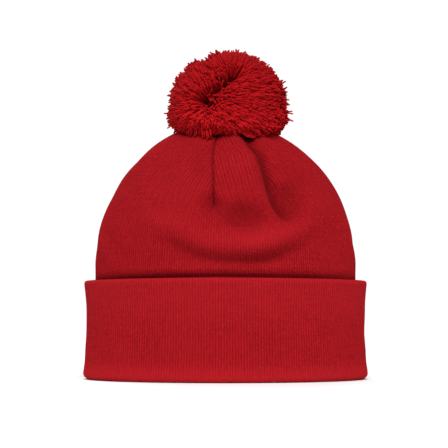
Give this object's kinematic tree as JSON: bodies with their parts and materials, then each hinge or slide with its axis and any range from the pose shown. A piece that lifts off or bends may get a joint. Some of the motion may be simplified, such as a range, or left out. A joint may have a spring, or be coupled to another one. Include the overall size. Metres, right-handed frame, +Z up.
{
  "type": "pom pom beanie",
  "caption": "Red fine-rib knit beanie, doubled, with a turned-up cuff, a darted oval dome and a fluffy cut-yarn pompom tied on top.",
  "frame": {"origin": "centre of the oval on which the hem stands, at the lowest point of the hat", "axes": "+Z up through the pompom, +X along the broad side of the oval opening, +Y from the front to the back; the front is the side with the dart seam left of the middle"},
  "size_m": [0.2094, 0.1676, 0.2415],
  "materials": {
    "red_rib_knit": "matte",
    "red_pompom_yarn": "matte",
    "red_thread": "matte",
    "white_label_tape": "satin"
  },
  "bodies": {
    "cuff": {"cuff_face": "red_rib_knit", "cuff_back": "red_rib_knit"},
    "hat": {"outer_crown": "red_rib_knit", "lining_wall": "red_rib_knit", "lining_dome": "red_rib_knit", "outer_dart_seam_1": "red_rib_knit", "outer_dart_seam_2": "red_rib_knit", "outer_dart_seam_3": "red_rib_knit", "outer_dart_seam_4": "red_rib_knit", "lining_dart_seam_1": "red_rib_knit", "lining_dart_seam_2": "red_rib_knit", "lining_dart_seam_3": "red_rib_knit", "lining_dart_seam_4": "red_rib_knit", "outer_gather_thread": "red_thread", "lining_gather_thread": "red_thread", "anchor_knot": "red_thread", "label_stitches": "red_thread"},
    "pom_tie": {"tie_thread": "red_thread", "pom_skirt_yarn": "red_pompom_yarn"},
    "pompom": {"pompom_yarn": "red_pompom_yarn", "pom_binding": "red_thread"},
    "label": {"care_label": "white_label_tape"}
  },
  "joints": [
    {"name": "cuff_turn_down", "type": "slide", "parent": "cuff", "child": "hat", "axis": [0, 0, 1], "range_m": [0, 0.068]},
    {"name": "pom_twist", "type": "hinge", "parent": "hat", "child": "pom_tie", "pos_m": [0, 0, 0.191], "axis": [0, 0, 1], "range_deg": [-60, 60], "stiffness_Nm_per_rad": 0.01},
    {"name": "pom_lean", "type": "hinge", "parent": "pom_tie", "child": "pompom", "pos_m": [0, 0, 0.191], "axis": [0, 1, 0], "range_deg": [-20, 20], "stiffness_Nm_per_rad": 0.04, "deforming": ["pom_skirt_yarn"]},
    {"name": "label_flap", "type": "hinge", "parent": "hat", "child": "label", "pos_m": [0, 0.0717, 0.078], "axis": [-1, 0, 0], "range_deg": [0, 70]}
  ]
}
